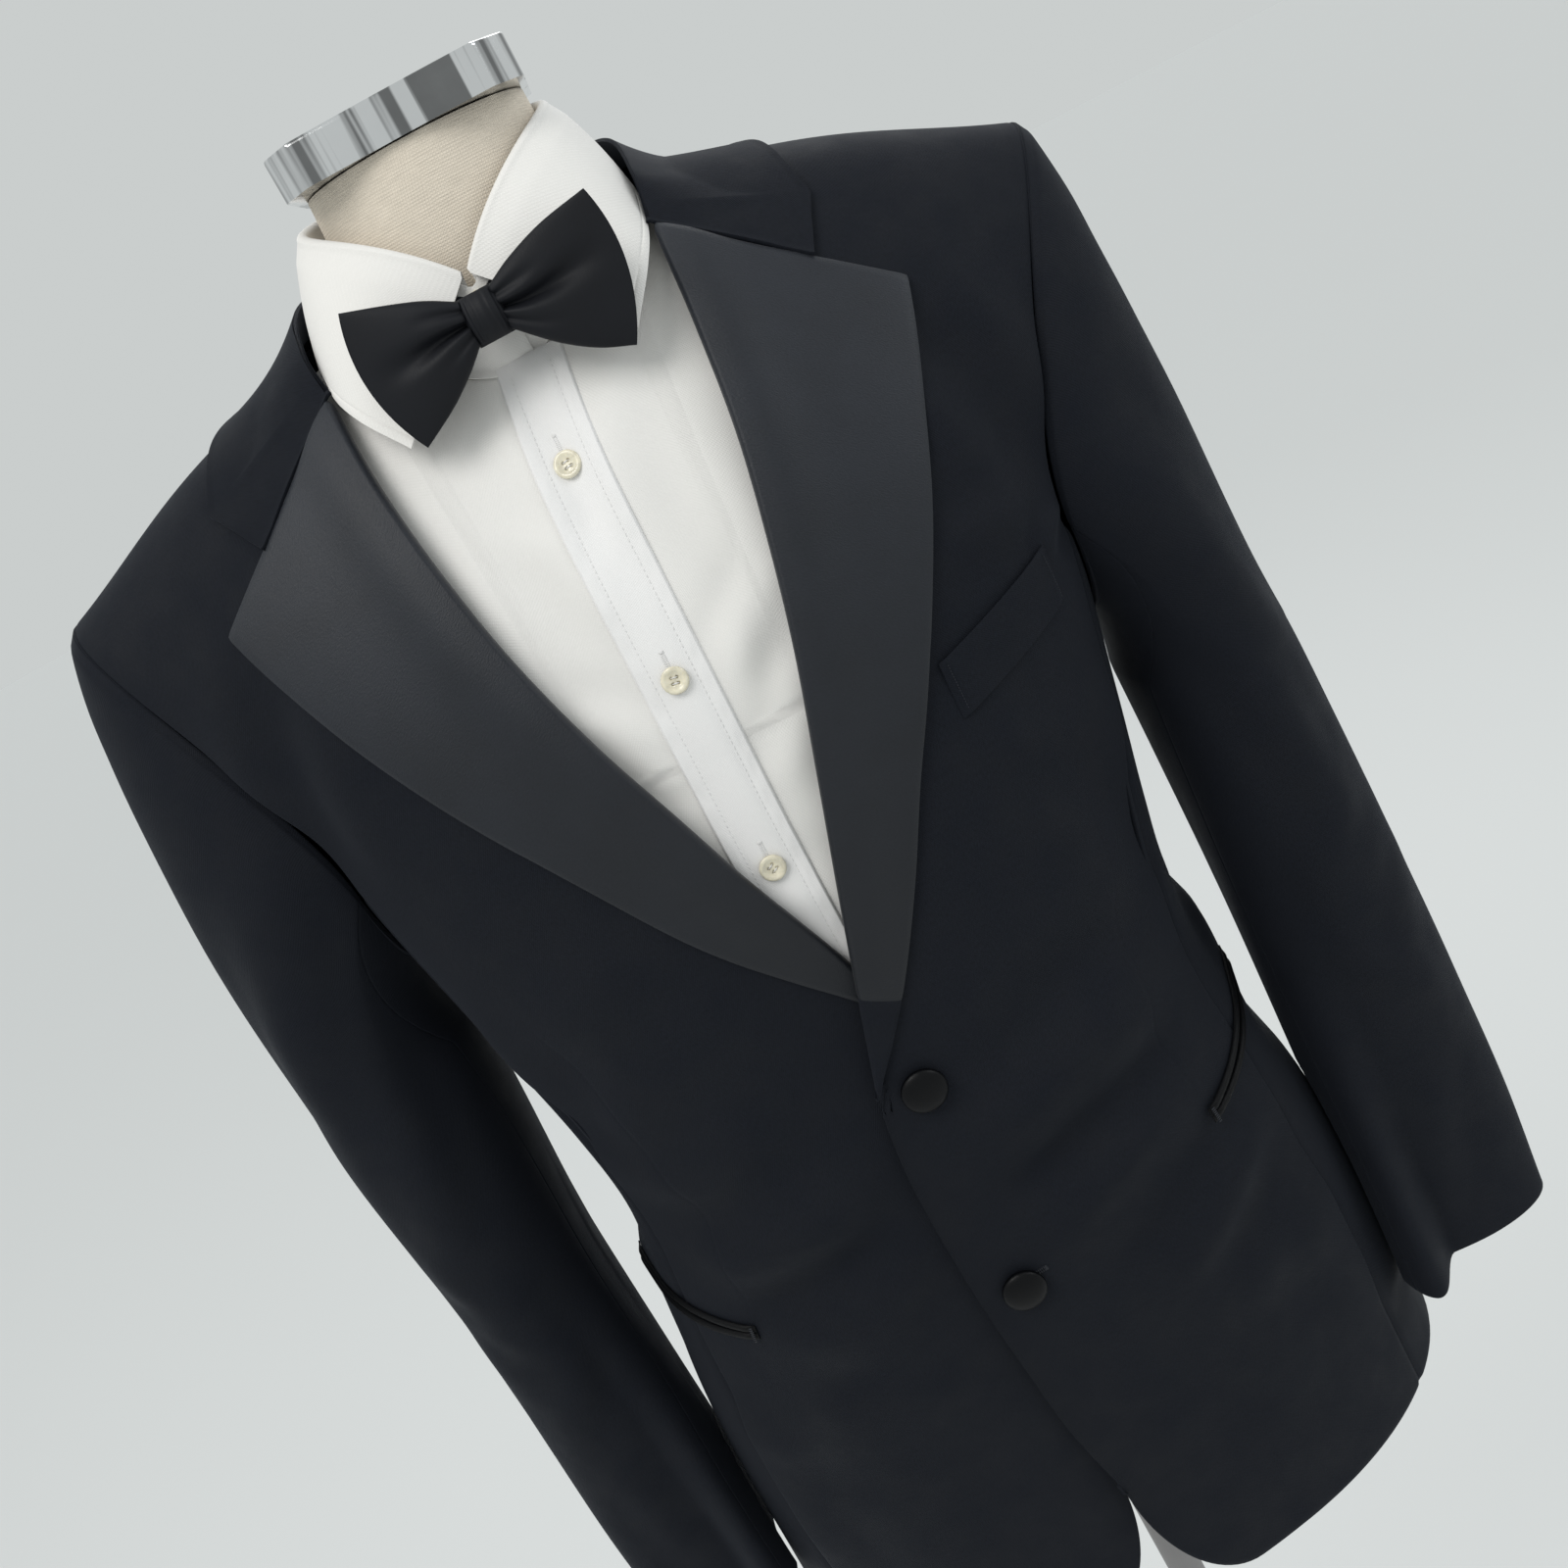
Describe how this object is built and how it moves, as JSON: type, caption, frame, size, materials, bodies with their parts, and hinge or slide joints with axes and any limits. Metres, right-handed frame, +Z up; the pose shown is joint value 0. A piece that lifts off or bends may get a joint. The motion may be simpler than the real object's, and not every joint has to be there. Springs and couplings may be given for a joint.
{
  "type": "tuxedo on a dress form",
  "caption": "Two-button dinner jacket with satin notch lapels, white dress shirt and bow tie, worn by a limbless dress form on a pole and round base.",
  "frame": {"origin": "centre of the base's underside, on the floor", "axes": "+Z up along the pole, -Y is the garment's front, +X is the wearer's left"},
  "size_m": [0.5514, 0.33, 1.5703],
  "materials": {
    "wool": "matte",
    "satin": "satin",
    "covered_button": "satin",
    "tie_satin": "satin",
    "shirting": "matte",
    "pearl": "gloss",
    "linen": "matte",
    "chrome": "polished",
    "steel": "brushed"
  },
  "bodies": {
    "root": {"base": "steel", "bow_band": "tie_satin", "bow_knot": "tie_satin", "bow_wing_left": "tie_satin", "bow_wing_right": "tie_satin", "breast_welt": "wool", "form_torso": "linen", "hip_jet_lower_left": "satin", "hip_jet_lower_right": "satin", "hip_jet_upper_left": "satin", "hip_jet_upper_right": "satin", "jacket_back_left": "wool", "jacket_back_right": "wool", "jacket_button_lower": "covered_button", "jacket_button_upper": "covered_button", "jacket_collar": "wool", "jacket_front_left": "wool", "jacket_front_right": "wool", "jacket_side_left": "wool", "jacket_side_right": "wool", "lapel_left": "satin", "lapel_right": "satin", "neck_cap": "chrome", "pole": "steel", "pole_collar": "steel", "shirt_back": "shirting", "shirt_button_1": "pearl", "shirt_button_2": "pearl", "shirt_button_3": "pearl", "shirt_button_top": "pearl", "shirt_collar": "shirting", "shirt_collar_band": "shirting", "shirt_front_left": "shirting", "shirt_front_right": "shirting", "shirt_placket": "shirting", "topsleeve_left": "wool", "topsleeve_right": "wool", "undersleeve_left": "wool", "undersleeve_right": "wool"}
  },
  "joints": []
}
